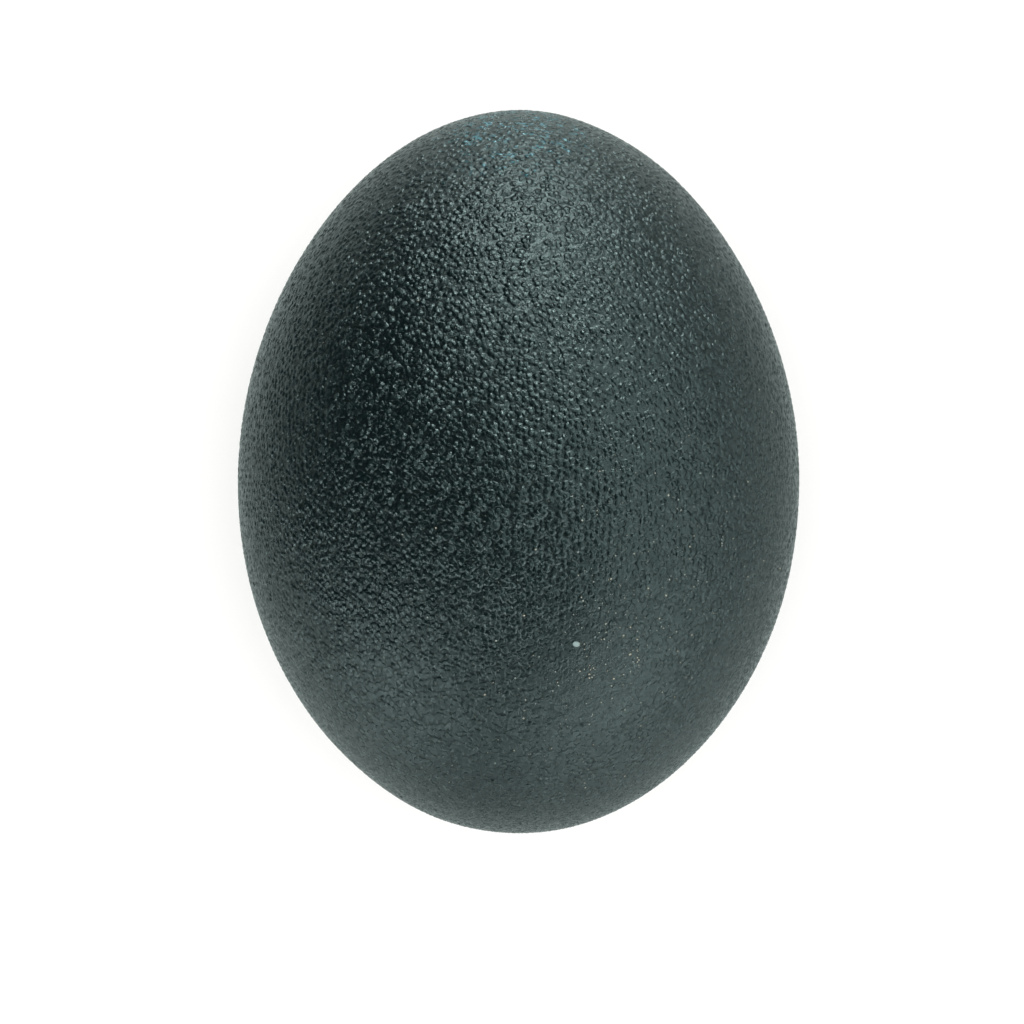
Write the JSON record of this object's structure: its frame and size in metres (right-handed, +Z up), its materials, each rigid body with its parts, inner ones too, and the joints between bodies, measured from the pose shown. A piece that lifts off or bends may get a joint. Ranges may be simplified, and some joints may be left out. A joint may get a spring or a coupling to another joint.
{
  "type": "emu egg",
  "caption": "Whole emu egg with a dark green, pebbled shell, lying on its side on a small flat spot.",
  "frame": {"origin": "on the surface the egg rests on, under the middle of its length", "axes": "+Y along the egg's long axis, towards its slightly narrower end; +Z up; +X across it"},
  "size_m": [0.094, 0.121, 0.0935],
  "materials": {
    "eggshell": "hard natural eggshell, satin, covered in fine flat-topped granules"
  },
  "bodies": {
    "root": {"emu_egg": "eggshell"}
  },
  "joints": []
}
